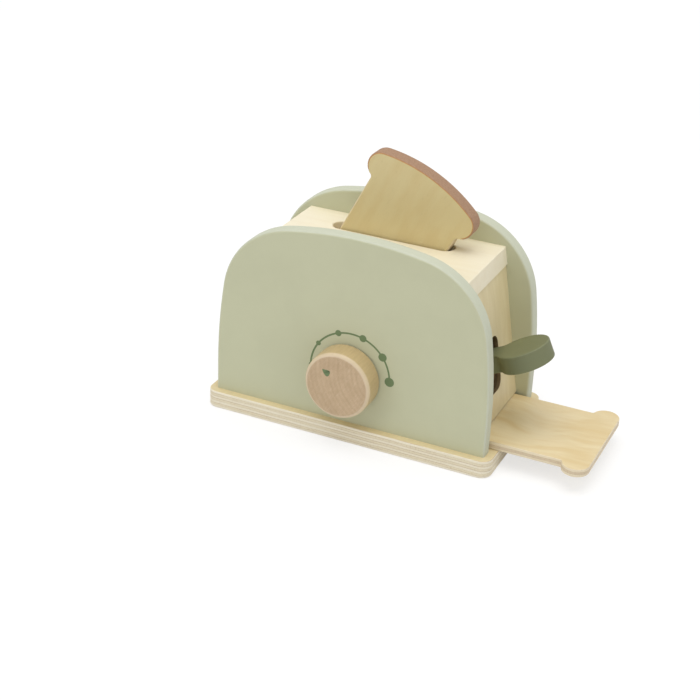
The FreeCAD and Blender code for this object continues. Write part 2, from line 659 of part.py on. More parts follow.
def make_knob_screw():
    """Return the screw that holds the knob from inside the front panel."""
    body = new_body("knob_screw")
    head_front = f"({PANEL_IN} - washer_thick)"
    shank = new_sketch(body, "Shank", "XZ_Plane", head_front)
    add_circle(shank, "0", "knob_height", "bolt_diameter / 2")
    pad(body, shank, BOLT_REACH)
    head_back = f"({head_front} - bolt_head_thick)"
    head = new_sketch(body, "Head", "XZ_Plane", head_back)
    add_circle(head, "0", "knob_height", "bolt_head / 2")
    pad(body, head, "bolt_head_thick")
    back_face = -value(head_back)
    fillet(body, "bolt_head_thick / 2", lambda edge: lies_at(edge, 1, back_face))
    drive = new_sketch(body, "Drive", "XZ_Plane", f"({head_back} + drive_depth)")
    low, high = "knob_height - drive_size / 2", "knob_height + drive_size / 2"
    add_rectangle(drive, "-drive_size / 2", "drive_size / 2", low, high)
    pocket(body, drive, "drive_depth")
    return body


def slice_outline():
    """Return the slice's outline from its foot: sides, waists, lobes and crown."""
    side, tall = value("bread_width / 2"), value("bread_height")
    lobe, lobe_y = value("lobe_radius"), value("lobe_height")
    lobe_x = value("loaf_width / 2") - lobe
    waist = value("waist_fillet")
    drop = tall - lobe_y
    crown = (lobe_x ** 2 + drop ** 2 - lobe ** 2) / (2 * (drop - lobe))
    lean = math.atan2(lobe_x, crown - drop)
    waist_x = side + waist
    fall = math.asin((waist_x - lobe_x) / (lobe + waist))
    waist_y = lobe_y - (lobe + waist) * math.cos(fall)
    up = FreeCAD.Vector(0, 0, 1)
    quarter = math.pi / 2

    def circle(x_place, y_place, radius):
        return Part.Circle(FreeCAD.Vector(x_place, y_place, 0), up, radius)

    return [
        Part.LineSegment(FreeCAD.Vector(-side, 0, 0), FreeCAD.Vector(side, 0, 0)),
        Part.LineSegment(FreeCAD.Vector(side, 0, 0), FreeCAD.Vector(side, waist_y, 0)),
        Part.ArcOfCircle(circle(waist_x, waist_y, waist), quarter + fall, 2 * quarter),
        Part.ArcOfCircle(circle(lobe_x, lobe_y, lobe), fall - quarter, quarter - lean),
        Part.ArcOfCircle(circle(0, tall - crown, crown), quarter - lean, quarter + lean),
        Part.ArcOfCircle(circle(-lobe_x, lobe_y, lobe), quarter + lean, 3 * quarter - fall),
        Part.ArcOfCircle(circle(-waist_x, waist_y, waist), 0, quarter - fall),
        Part.LineSegment(FreeCAD.Vector(-side, waist_y, 0), FreeCAD.Vector(-side, 0, 0)),
    ]


def slice_place():
    """Return where the slice's foot lies as it is jammed slantwise in the back slot."""
    tilt = math.radians(value("bread_tilt"))
    corner = value("bread_corner")
    # Across the slice: its right side passes the upper edge of the slot's right end.
    edge_x, edge_z = value("slot_length / 2"), value("top_height")
    right = edge_x * math.cos(tilt) - edge_z * math.sin(tilt) - value("bread_right_gap")
    across = right - value("bread_width / 2")
    # Along the slice: its lower left corner meets the slot's left end.
    corner_across = across - value("bread_width / 2") + corner
    corner_x = corner + value("bread_side_gap") - value("slot_length / 2")
    corner_along = (corner_x - corner_across * math.cos(tilt)) / math.sin(tilt)
    foot = corner_along - corner
    return FreeCAD.Vector(
        across * math.cos(tilt) + foot * math.sin(tilt),
        value(f"{SLOT_OUT} - bread_back_gap"),
        foot * math.cos(tilt) - across * math.sin(tilt))


def make_slice():
    """Return the toast slice, leaning to the right in the back slot."""
    body = new_body("toast_slice")
    face = new_sketch(body, "Face", "XZ_Plane")
    add_traced(face, slice_outline())
    pad(body, face, "bread_thick")
    fillet(body, "bread_corner", lambda edge: along(edge, 1)
           and abs(edge.CenterOfMass.z) < 1e-3)
    thick = value("bread_thick")
    fillet(body, "bread_ease", lambda edge: lies_at(edge, 1, 0) or lies_at(edge, 1, -thick))
    body.Placement = FreeCAD.Placement(
        slice_place(), FreeCAD.Rotation(FreeCAD.Vector(0, 1, 0), value("bread_tilt")))
    return body


def make_screw(name, x_text, y_text):
    """Return one countersunk screw that stands in the base, point up."""
    body = new_body(name)
    shank = new_sketch(body, "Shank", "XY_Plane")
    add_circle(shank, x_text, y_text, "screw_diameter / 2")
    pad(body, shank, "screw_length")
    cone = body.newObject("PartDesign::AdditiveCone", "Head")
    cone.setExpression("Radius1", bound("screw_head / 2"))
    cone.setExpression("Radius2", bound("screw_diameter / 2"))
    cone.setExpression("Height", bound("(screw_head - screw_diameter) / 2"))
    base = next(item for item in body.Origin.OriginFeatures if item.Role == "XY_Plane")
    cone.AttachmentSupport = [(base, "")]
    cone.MapMode = "FlatFace"
    cone.setExpression("AttachmentOffset.Base.x", bound(x_text))
    cone.setExpression("AttachmentOffset.Base.y", bound(y_text))
    doc.recompute()
    drive = new_sketch(body, "Drive", "XY_Plane", "drive_depth")
    add_rectangle(drive, f"{x_text} - drive_size / 2", f"{x_text} + drive_size / 2",
                  f"{y_text} - drive_size / 2", f"{y_text} + drive_size / 2")
    pocket(body, drive, "drive_depth")
    return body


def make_dowels(name, side):
    """Return the four hidden dowels that join a panel to the top and the end walls."""
    start = (f"(0 - {PANEL_IN} - dowel_depth)" if side < 0
             else f"({PANEL_IN} + dowel_depth - dowel_length)")
    dowels = [new_dowel(f"{name}_{number}", "dowel_diameter / 2", "dowel_length",
                        x_text, start, z_text)
              for number, (x_text, z_text) in enumerate(DOWEL_SPOTS, 1)]
    return new_group(name, dowels)


def make_all():
    """Return every sub-part of the toaster, in the order of assembly."""
    parts = [make_base(), make_panel("front_panel", -1), make_panel("back_panel", 1), make_top(),
             make_wall("left_wall", -1), make_wall("right_wall", 1)]
    parts += make_inside()
    parts += [make_tray(), make_lever()]
    parts += make_lever_fittings()
    parts += [
        make_knob(),
        make_ring("knob_spacer", PANEL_OUT, "spacer_thick", "spacer_diameter",
                  "bolt_diameter / 2 + bolt_play"),
        make_ring("knob_washer", f"({PANEL_IN} - washer_thick)", "washer_thick",
                  "washer_diameter", "bolt_diameter / 2 + bolt_play"),
        make_knob_screw(),
        make_slice(),
    ]
    spots = SCREW_SPOTS + WALL_SCREWS
    screws = [make_screw(f"base_screw_{number}", *spot) for number, spot in enumerate(spots, 1)]
    parts.append(new_group("base_screws", screws))
    parts += [make_dowels("front_dowels", -1), make_dowels("back_dowels", 1)]
    return parts


def check(parts):
    """Stop where an object failed or a sub-part's shape is not sound."""
    doc.recompute()
    for item in doc.Objects:
        if "Invalid" in item.State or "Error" in item.State:
            raise RuntimeError(f"{item.Label}: {item.State}")
    for item in parts:
        if item.Shape.isNull() or not item.Shape.isValid() or not item.Shape.Solids:
            raise RuntimeError(f"{item.Label}: no valid solid")


sub_parts = make_all()
check(sub_parts)
os.makedirs("parts", exist_ok=True)
for sub_part in sub_parts:
    sub_part.Shape.exportStep(f"parts/{sub_part.Label}.step")
    box = sub_part.Shape.BoundBox
    print(f"{sub_part.Label}: {len(sub_part.Shape.Solids)} solid(s),"
          f" {sub_part.Shape.Volume / 1000:.2f} cm3,"
          f" x {box.XMin:.1f} {box.XMax:.1f}, y {box.YMin:.1f} {box.YMax:.1f},"
          f" z {box.ZMin:.1f} {box.ZMax:.1f}")
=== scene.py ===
"""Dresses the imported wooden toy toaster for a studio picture. Metres, in the CAD frame."""

import logging
import math
from dataclasses import dataclass, field
from enum import Enum

import bmesh
import bpy
from mathutils import Matrix, Vector


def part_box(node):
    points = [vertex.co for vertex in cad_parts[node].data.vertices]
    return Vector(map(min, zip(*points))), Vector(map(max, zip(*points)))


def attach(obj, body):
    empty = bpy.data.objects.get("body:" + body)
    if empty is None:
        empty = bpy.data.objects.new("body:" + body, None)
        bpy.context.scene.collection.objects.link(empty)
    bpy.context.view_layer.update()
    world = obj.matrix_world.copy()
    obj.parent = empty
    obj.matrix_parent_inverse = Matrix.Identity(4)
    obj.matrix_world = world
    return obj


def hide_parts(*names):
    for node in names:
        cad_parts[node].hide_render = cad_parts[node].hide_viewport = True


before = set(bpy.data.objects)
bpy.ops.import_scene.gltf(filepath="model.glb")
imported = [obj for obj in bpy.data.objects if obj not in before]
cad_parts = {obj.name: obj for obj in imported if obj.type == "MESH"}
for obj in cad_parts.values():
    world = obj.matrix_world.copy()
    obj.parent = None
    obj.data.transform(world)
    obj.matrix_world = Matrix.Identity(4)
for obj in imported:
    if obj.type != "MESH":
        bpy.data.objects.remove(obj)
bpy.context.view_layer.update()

LOG = logging.getLogger("toy_toaster")
MM = 0.001
# The colour sockets of the Mix node, which share their names with its other kinds
MIX_FIRST = 6
MIX_SECOND = 7
MIX_RESULT = 2
BUMP_STRENGTH = 0.6

Colour = tuple[float, float, float]
Socket = bpy.types.NodeSocket


class Grain(Enum):
    """The object axis that a board's fibres run along."""

    ALONG_X = (0, 0, 0)
    ALONG_Y = (0, 0, 90)
    ALONG_Z = (0, 90, 0)


class Across(Enum):
    """The object axis that a board's thickness runs along."""

    X = (1, 0, 0)
    Y = (0, 1, 0)
    Z = (0, 0, 1)


def srgb(red: int, green: int, blue: int) -> Colour:
    """Turn a display colour into the linear one that shaders use.

    Args:
        red: Red, 0 to 255.
        green: Green, 0 to 255.
        blue: Blue, 0 to 255.

    Returns:
        The linear colour.
    """
    def linear(level: int) -> float:
        share = level / 255
        return share / 12.92 if share <= 0.04045 else ((share + 0.055) / 1.055) ** 2.4

    return linear(red), linear(green), linear(blue)


def opaque(colour: Colour) -> tuple[float, float, float, float]:
    """Return the colour with a full alpha, as a colour socket wants it."""
    return (*colour, 1.0)


def shaded(colour: Colour, share: float) -> Colour:
    """Return a darker shade of the colour.

    Args:
        colour: The colour to darken.
        share: How much of its light is left.
    """
    return tuple(part * share for part in colour)


class Graph:
    """A node tree that is written from the first node to the last."""

    def __init__(self, tree: bpy.types.NodeTree) -> None:
        """Take the tree to write in.

        Args:
            tree: A material's tree or a group's tree.
        """
        self.tree = tree

    def feed(self, value: object, socket: Socket) -> None:
        """Link a socket, or set a plain value where none is given.

        Args:
            value: An output socket, a number, a colour or a vector.
            socket: The input that takes it.
        """
        if isinstance(value, bpy.types.NodeSocket):
            self.tree.links.new(value, socket)
        else:
            socket.default_value = value

    def add(self, kind: str, inputs: dict[object, object] | None = None,
            **settings: object) -> bpy.types.Node:
        """Add a node, set its properties and feed its inputs.

        Args:
            kind: The node's type name.
            inputs: Values by the input's name or number.
            settings: Properties of the node.

        Returns:
            The new node.
        """
        node = self.tree.nodes.new(kind)
        for name, value in settings.items():
            setattr(node, name, value)
        for key, value in (inputs or {}).items():
            self.feed(value, node.inputs[key])
        return node

    def math(self, operation: str, *values: object) -> Socket:
        """Return the result of a Math node.

        Args:
            operation: The node's operation.
            values: Its numbers or sockets, in order.
        """
        inputs = dict(enumerate(values))
        return self.add("ShaderNodeMath", inputs, operation=operation).outputs[0]

    def vector(self, operation: str, *values: object) -> bpy.types.Node:
        """Return a Vector Math node.

        Args:
            operation: The node's operation.
            values: Its vectors or sockets, in order.
        """
        return self.add("ShaderNodeVectorMath", dict(enumerate(values)), operation=operation)

    def step(self, value: Socket, low: float, high: float) -> Socket:
        """Return a smooth step of the value.

        Args:
            value: The number to test.
            low: Where the result starts to leave 0.
            high: Where the result reaches 1.
        """
        inputs = {"Value": value, "From Min": low, "From Max": high}
        return self.add("ShaderNodeMapRange", inputs, interpolation_type="SMOOTHSTEP").outputs[0]

    def mix(self, factor: object, first: object, second: object, blend: str = "MIX") -> Socket:
        """Return a blend of two colours.

        Args:
            factor: How much of the second colour shows.
            first: The colour at 0.
            second: The colour at 1.
            blend: The way that the two are blended.
        """
        inputs = {"Factor": factor, MIX_FIRST: first, MIX_SECOND: second}
        node = self.add("ShaderNodeMix", inputs, data_type="RGBA", blend_type=blend)
        return node.outputs[MIX_RESULT]

    def tint(self, base: object, mask: Socket, share: float, tone: Colour) -> Socket:
        """Return a colour with some of a tone where the mask is 1.

        Args:
            base: The colour where the mask is 0.
            mask: Where the tone shows.
            share: How much of it shows there.
            tone: The tone.
        """
        return self.mix(self.math("MULTIPLY", mask, share), base, opaque(tone))

    def noise(self, vector: Socket, scale: object, detail: float = 2.0,
              roughness: float = 0.5) -> Socket:
        """Return a Noise Texture's value.

        Args:
            vector: Where to read it.
            scale: Its scale.
            detail: Its octaves.
            roughness: How strong the fine octaves are.
        """
        inputs = {"Vector": vector, "Scale": scale, "Detail": detail, "Roughness": roughness}
        return self.add("ShaderNodeTexNoise", inputs).outputs["Fac"]

    def place(self, group: bpy.types.NodeTree, inputs: dict[str, object]) -> bpy.types.Node:
        """Place a shared group.

        Args:
            group: The group's tree.
            inputs: Values by the input's name.

        Returns:
            The group's node.
        """
        node = self.tree.nodes.new("ShaderNodeGroup")
        node.node_tree = group
        for key, value in inputs.items():
            self.feed(value, node.inputs[key])
        return node


class Effects:
    """The shader groups that several finishes share. Each is built once."""

    # Noise scales, in waves per metre
    WARP_SCALE = 14.0
    BAND_SCALE = 105.0
    SHADE_SCALE = 22.0
    SWAY_SCALE = 26.0
    SEAM_SCALE = 24.0
    TORN_SCALE = 1100.0
    PATCH_SCALE = 35.0
    SPECK_SCALE = 260.0
    # How much finer fibres and flecks are than streaks
    FIBRES_FINER = 4.0
    FLECKS_FINER = 3.1
    # How far the warp pushes streaks and bands sideways, in metres
    STREAK_PUSH = 0.02
    BAND_PUSH = 0.07
    # How far the plies sway, as a share of one ply
    PLY_SWAY = 0.7

    def __init__(self) -> None:
        """Build every group."""
        self.figure = self._figure()
        self.layers = self._layers()
        self.rim = self._rim()
        self.handling = self._handling()

    @staticmethod
    def _open(name: str, inputs: dict[str, tuple[str, object]],
              outputs: tuple[str, ...]) -> tuple[Graph, bpy.types.Node, bpy.types.Node]:
        """Start a group with named sockets.

        Args:
            name: The group's name.
            inputs: Each input's socket type and default.
            outputs: Names of the value outputs.

        Returns:
            The graph, the group's input node and its output node.
        """
        tree = bpy.data.node_groups.new(name, "ShaderNodeTree")
        for label, (kind, default) in inputs.items():
            socket = tree.interface.new_socket(label, in_out="INPUT", socket_type=kind)
            if default is not None:
                socket.default_value = default
        for label in outputs:
            tree.interface.new_socket(label, in_out="OUTPUT", socket_type="NodeSocketFloat")
        graph = Graph(tree)
        return graph, graph.add("NodeGroupInput"), graph.add("NodeGroupOutput")

    def _figure(self) -> bpy.types.NodeTree:
        """Build the grain of wood whose fibres run along the vector's X.

        Returns:
            The group: streaks, fine fibres, short dark flecks, the broad wavy bands of
            peeled veneer, and slow shade.
        """
        graph, given, result = self._open(
            "Wood figure",
            {"Vector": ("NodeSocketVector", None),
             "Streak": ("NodeSocketFloat", 350.0),
             "Stretch": ("NodeSocketFloat", 0.05),
             "Warp": ("NodeSocketFloat", 0.6)},
            ("Streaks", "Fibres", "Flecks", "Bands", "Shade"))
        where = given.outputs["Vector"]
        streak = given.outputs["Streak"]
        slow = graph.noise(where, self.WARP_SCALE)
        bend = graph.math("MULTIPLY", slow, given.outputs["Warp"])
        flat = graph.add("ShaderNodeSeparateXYZ", {0: where})
        long_way = graph.math("MULTIPLY", flat.outputs[0], given.outputs["Stretch"])
        pushed = graph.math("MULTIPLY_ADD", bend, self.STREAK_PUSH, flat.outputs[1])
        lain = graph.add("ShaderNodeCombineXYZ", {0: long_way, 1: pushed, 2: flat.outputs[2]})
        streaks = graph.noise(lain.outputs[0], streak, 3.0, 0.55)
        fine = graph.math("MULTIPLY", streak, self.FIBRES_FINER)
        fibres = graph.noise(lain.outputs[0], fine, 3.0, 0.7)
        fleck_place = graph.vector("MULTIPLY", lain.outputs[0], (5.0, 1.0, 1.0)).outputs[0]
        finer = graph.math("MULTIPLY", streak, self.FLECKS_FINER)
        flecks = graph.noise(fleck_place, finer)
        swept = graph.math("MULTIPLY_ADD", bend, self.BAND_PUSH, flat.outputs[1])
        band_way = graph.math("MULTIPLY", flat.outputs[0], 0.22)
        banded = graph.add("ShaderNodeCombineXYZ", {0: band_way, 1: swept, 2: flat.outputs[2]})
        bands = graph.noise(banded.outputs[0], self.BAND_SCALE, 3.0)
        shade = graph.noise(where, self.SHADE_SCALE)
        graph.feed(graph.step(streaks, 0.3, 0.7), result.inputs["Streaks"])
        graph.feed(graph.step(fibres, 0.25, 0.75), result.inputs["Fibres"])
        graph.feed(graph.step(flecks, 0.60, 0.72), result.inputs["Flecks"])
        graph.feed(graph.step(bands, 0.34, 0.68), result.inputs["Bands"])
        graph.feed(graph.step(shade, 0.3, 0.7), result.inputs["Shade"])
        return graph.tree

    def _layers(self) -> bpy.types.NodeTree:
        """Build the plies on a cut edge of plywood.

        Returns:
            The group: which plies lie crosswise, the glue seams and the torn pores.
        """
        graph, given, result = self._open(
            "Board layers",
            {"Vector": ("NodeSocketVector", None),
             "Depth": ("NodeSocketFloat", 0.5),
             "Plies": ("NodeSocketFloat", 7.0),
             "Seam": ("NodeSocketFloat", 0.10)},
            ("Cross", "Seams", "Pores"))
        where = given.outputs["Vector"]
        sway = graph.noise(where, self.SWAY_SCALE, 3.0)
        sway = graph.math("MULTIPLY_ADD", sway, self.PLY_SWAY, -self.PLY_SWAY / 2)
        level = graph.math("MULTIPLY_ADD", given.outputs["Depth"], given.outputs["Plies"], sway)
        odd = graph.math("MODULO", graph.math("FLOOR", level), 2.0)
        part = graph.math("FRACT", level)
        edge = graph.math("MINIMUM", part, graph.math("SUBTRACT", 1.0, part))
        near = graph.math("DIVIDE", edge, given.outputs["Seam"])
        seams = graph.math("SUBTRACT", 1.0, graph.step(near, 0.2, 1.0))
        number = graph.math("MULTIPLY", graph.math("ROUND", level), 0.37)
        moved = graph.vector("ADD", where, number).outputs[0]
        strong = graph.step(graph.noise(moved, self.SEAM_SCALE, 3.0, 0.6), 0.38, 0.62)
        seams = graph.math("MULTIPLY", seams, graph.math("MULTIPLY_ADD", strong, 0.8, 0.2))
        torn = graph.step(graph.noise(where, self.TORN_SCALE, 3.0, 0.65), 0.50, 0.68)
        graph.feed(odd, result.inputs["Cross"])
        graph.feed(seams, result.inputs["Seams"])
        graph.feed(graph.math("MULTIPLY", torn, graph.math("MULTIPLY_ADD", odd, 0.6, 0.4)),
                   result.inputs["Pores"])
        return graph.tree

    def _rim(self) -> bpy.types.NodeTree:
        """Build the mask of a board's rounded edge, from how far its normal leans.

        Returns:
            The group: 1 on the rounding, and 1 on all that isn't the flat face.
        """
        graph, given, result = self._open(
            "Rounded rim",
            {"Normal": ("NodeSocketVector", None), "Axis": ("NodeSocketVector", (0, 1, 0))},
            ("Rounding", "Side"))
        lean = graph.vector("DOT_PRODUCT", given.outputs["Normal"], given.outputs["Axis"])
        lean = graph.math("ABSOLUTE", lean.outputs["Value"])
        inner = graph.step(lean, 0.10, 0.45)
        outer = graph.step(lean, 0.90, 0.995)
        both = graph.math("MULTIPLY", inner, graph.math("SUBTRACT", 1.0, outer))
        graph.feed(both, result.inputs["Rounding"])
        side = graph.math("SUBTRACT", 1.0, graph.step(lean, 0.80, 0.90))
        graph.feed(side, result.inputs["Side"])
        return graph.tree

    def _handling(self) -> bpy.types.NodeTree:
        """Build the faint unevenness that hands and dust leave on a finish.

        Returns:
            The group: soft patches, and sparse dust specks.
        """
        graph, given, result = self._open(
            "Handling", {"Vector": ("NodeSocketVector", None)}, ("Patches", "Specks"))
        where = given.outputs["Vector"]
        patches = graph.step(graph.noise(where, self.PATCH_SCALE, 3.0, 0.6), 0.35, 0.65)
        specks = graph.add("ShaderNodeTexVoronoi",
                           {"Vector": where, "Scale": self.SPECK_SCALE})
        dots = graph.math("SUBTRACT", 1.0, graph.step(specks.outputs["Distance"], 0.03, 0.09))
        graph.feed(patches, result.inputs["Patches"])
        graph.feed(dots, result.inputs["Specks"])
        return graph.tree


class Finish:
    """A material in the making: its graph, its coordinates and its shader."""

    def __init__(self, name: str, turn: Matrix | None = None) -> None:
        """Start the material.

        Args:
            name: The material's name.
            turn: What takes the object's coordinates to the board's own.
        """
        self.material = bpy.data.materials.new(name)
        self.material.use_nodes = True
        self.graph = Graph(self.material.node_tree)
        self.shader = self.material.node_tree.nodes["Principled BSDF"]
        source = self.graph.add("ShaderNodeTexCoord")
        self.where = source.outputs["Object"]
        self.normal = source.outputs["Normal"]
        if turn is not None:
            self.where = self._turned(self.where, turn, "POINT")
            self.normal = self._turned(self.normal, turn, "VECTOR")

    def _turned(self, vector: Socket, turn: Matrix, kind: str) -> Socket:
        """Return the vector in the board's own frame.

        Args:
            vector: The coordinates or the normal.
            turn: The move to the board's frame.
            kind: POINT moves and turns, and VECTOR only turns.
        """
        inputs = {"Vector": vector, "Rotation": tuple(turn.to_euler())}
        if kind == "POINT":
            inputs["Location"] = tuple(turn.to_translation())
        return self.graph.add("ShaderNodeMapping", inputs, vector_type=kind).outputs[0]

    def along(self, grain: Grain) -> Socket:
        """Return coordinates whose X runs along the fibres.

        Args:
            grain: The way the fibres run.
        """
        if grain is Grain.ALONG_X:
            return self.where
        rotation = tuple(math.radians(angle) for angle in grain.value)
        inputs = {"Vector": self.where, "Rotation": rotation}
        return self.graph.add("ShaderNodeMapping", inputs).outputs[0]

    def coat(self, colour: Socket, roughness: Socket, height: Socket, depth: float) -> None:
        """Feed the shader.

        Args:
            colour: The base colour.
            roughness: The roughness.
            height: The relief, 0 to 1.
            depth: How deep the relief is, in metres.
        """
        bump = self.graph.add("ShaderNodeBump", {"Strength": BUMP_STRENGTH, "Distance": depth,
                                                 "Height": height})
        self.graph.feed(colour, self.shader.inputs["Base Color"])
        self.graph.feed(roughness, self.shader.inputs["Roughness"])
        self.graph.feed(bump.outputs[0], self.shader.inputs["Normal"])

    def varnish(self, weight: float, roughness: float) -> None:
        """Lay a clear coat over the base.

        Args:
            weight: How much the coat shows.
            roughness: The coat's roughness.
        """
        self.shader.inputs["Coat Weight"].default_value = weight
        self.shader.inputs["Coat Roughness"].default_value = roughness


@dataclass(frozen=True)
class Paint:
    """Matt paint on a sanded board: a soft roller texture, and rounded edges tinted paler,
    partly thin worn paint and partly a painted highlight.
    """

    name: str
    body: Colour
    rim: Colour
    # The paler tone on the rounded edges is partly wear and partly a painted highlight
    worn_and_lit_tone: Colour = srgb(226, 226, 214)
    wear_and_highlight: float = 0.25
    face_axis: Across = Across.Y
    patch_shade: float = 0.975
    dust: Colour = srgb(236, 234, 222)
    dust_share: float = 0.10
    roller: float = 1600.0
    roughness: float = 0.55
    gloss: float = 0.35
    relief: float = 0.05 * MM

    def make(self, effects: Effects, turn: Matrix | None = None) -> bpy.types.Material:
        """Build the material.

        Args:
            effects: The shared groups.
            turn: What takes the object's coordinates to the board's own.

        Returns:
            The material.
        """
        finish = Finish(self.name, turn)
        graph = finish.graph
        rim = graph.place(effects.rim, {"Normal": finish.normal, "Axis": self.face_axis.value})
        hands = graph.place(effects.handling, {"Vector": finish.where})
        colour = graph.mix(hands.outputs["Patches"], opaque(self.body),
                           opaque(shaded(self.body, self.patch_shade)))
        colour = graph.mix(rim.outputs["Side"], colour, opaque(self.rim))
        # Painted highlight, with some real wear: the rounded edges are tinted paler
        colour = graph.tint(colour, rim.outputs["Rounding"], self.wear_and_highlight, self.worn_and_lit_tone)
        colour = graph.tint(colour, hands.outputs["Specks"], self.dust_share, self.dust)
        roller = graph.noise(finish.where, self.roller, 3.0, 0.6)
        rough = graph.math("MULTIPLY_ADD", hands.outputs["Patches"], 0.07, self.roughness)
        finish.coat(colour, rough, roller, self.relief)
        finish.shader.inputs["Specular IOR Level"].default_value = self.gloss
        return finish.material


@dataclass(frozen=True)
class Plywood:
    """Clear-coated plywood: veneer on its faces and stacked plies on its cut edges."""

    name: str
    light: Colour
    dark: Colour
    ply_light: Colour
    ply_dark: Colour
    across: Across
    low: float
    thick: float
    plies: int
    grain: Grain = Grain.ALONG_X
    streak: float = 420.0
    contrast: float = 0.35
    broad: float = 0.35
    tint: Colour = srgb(214, 186, 132)
    seam: Colour = srgb(160, 126, 84)
    seam_share: float = 0.45
    pore_share: float = 0.26
    edge_streaks: float = 0.45
    shade_share: float = 0.30
    fleck_share: float = 0.12
    fleck_shade: float = 0.72
    roughness: float = 0.40
    relief: float = 0.08 * MM
    coat: float = 0.12
    coat_roughness: float = 0.35

    def make(self, effects: Effects, turn: Matrix | None = None) -> bpy.types.Material:
        """Build the material.

        Args:
            effects: The shared groups.
            turn: What takes the object's coordinates to the board's own.

        Returns:
            The material.
        """
        finish = Finish(self.name, turn)
        colour, rough, height = self.surface(finish, effects)
        finish.coat(colour, rough, height, self.relief)
        finish.varnish(self.coat, self.coat_roughness)
        return finish.material

    def surface(self, finish: Finish, effects: Effects) -> tuple[Socket, Socket, Socket]:
        """Return the colour, the roughness and the relief.

        Args:
            finish: The material in the making.
            effects: The shared groups.
        """
        graph = finish.graph
        figure = graph.place(effects.figure, {"Vector": finish.along(self.grain),
                                              "Streak": self.streak})
        face = graph.tint(opaque(self.light), figure.outputs["Streaks"], self.contrast,
                          self.dark)
        face = graph.tint(face, figure.outputs["Bands"], self.broad, self.tint)
        face = graph.tint(face, figure.outputs["Shade"], self.shade_share, self.dark)
        face = graph.tint(face, figure.outputs["Flecks"], self.fleck_share,
                          shaded(self.dark, self.fleck_shade))
        split = graph.vector("DOT_PRODUCT", finish.where, self.across.value).outputs["Value"]
        depth = graph.math("DIVIDE", graph.math("SUBTRACT", split, self.low), self.thick)
        layers = graph.place(effects.layers, {"Vector": finish.where, "Depth": depth,
                                              "Plies": float(self.plies)})
        edge = graph.mix(layers.outputs["Cross"], opaque(self.ply_light), opaque(self.ply_dark))
        edge = graph.tint(edge, figure.outputs["Streaks"], self.edge_streaks, self.ply_dark)
        edge = graph.tint(edge, layers.outputs["Pores"], self.pore_share, self.seam)
        edge = graph.tint(edge, layers.outputs["Seams"], self.seam_share, self.seam)
        rim = graph.place(effects.rim, {"Normal": finish.normal, "Axis": self.across.value})
        side = rim.outputs["Side"]
        colour = graph.mix(side, face, edge)
        rough = graph.math("MULTIPLY_ADD", figure.outputs["Fibres"], 0.10, self.roughness)
        rough = graph.math("MULTIPLY_ADD", side, 0.15, rough)
        pits = graph.math("ADD", layers.outputs["Pores"], layers.outputs["Seams"])
        pits = graph.math("MULTIPLY", pits, side)
        height = graph.math("SUBTRACT", figure.outputs["Fibres"], pits)
        return colour, rough, height


@dataclass(frozen=True)
class SolidWood:
    """Clear-coated solid wood, paler or darker along its streaks."""

    name: str
    light: Colour
    dark: Colour
    grain: Grain = Grain.ALONG_X
    streak: float = 300.0
    contrast: float = 1.0
    flecks: float = 0.25
    fleck_shade: float = 0.7
    roughness: float = 0.42
    relief: float = 0.05 * MM
    coat: float = 0.10
    coat_roughness: float = 0.35

    def make(self, effects: Effects, turn: Matrix | None = None) -> bpy.types.Material:
        """Build the material.

        Args:
            effects: The shared groups.
            turn: What takes the object's coordinates to the board's own.

        Returns:
            The material.
        """
        finish = Finish(self.name, turn)
        graph = finish.graph
        figure = graph.place(effects.figure, {"Vector": finish.along(self.grain),
                                              "Streak": self.streak})
        faint = graph.math("MULTIPLY", figure.outputs["Streaks"], self.contrast * 0.6)
        faint = graph.math("MULTIPLY_ADD", figure.outputs["Bands"], self.contrast * 0.4, faint)
        colour = graph.mix(faint, opaque(self.light), opaque(self.dark))
        colour = graph.tint(colour, figure.outputs["Flecks"], self.flecks,
                            shaded(self.dark, self.fleck_shade))
        rough = graph.math("MULTIPLY_ADD", figure.outputs["Fibres"], 0.12, self.roughness)
        finish.coat(colour, rough, figure.outputs["Fibres"], self.relief)
        finish.varnish(self.coat, self.coat_roughness)
        return finish.material


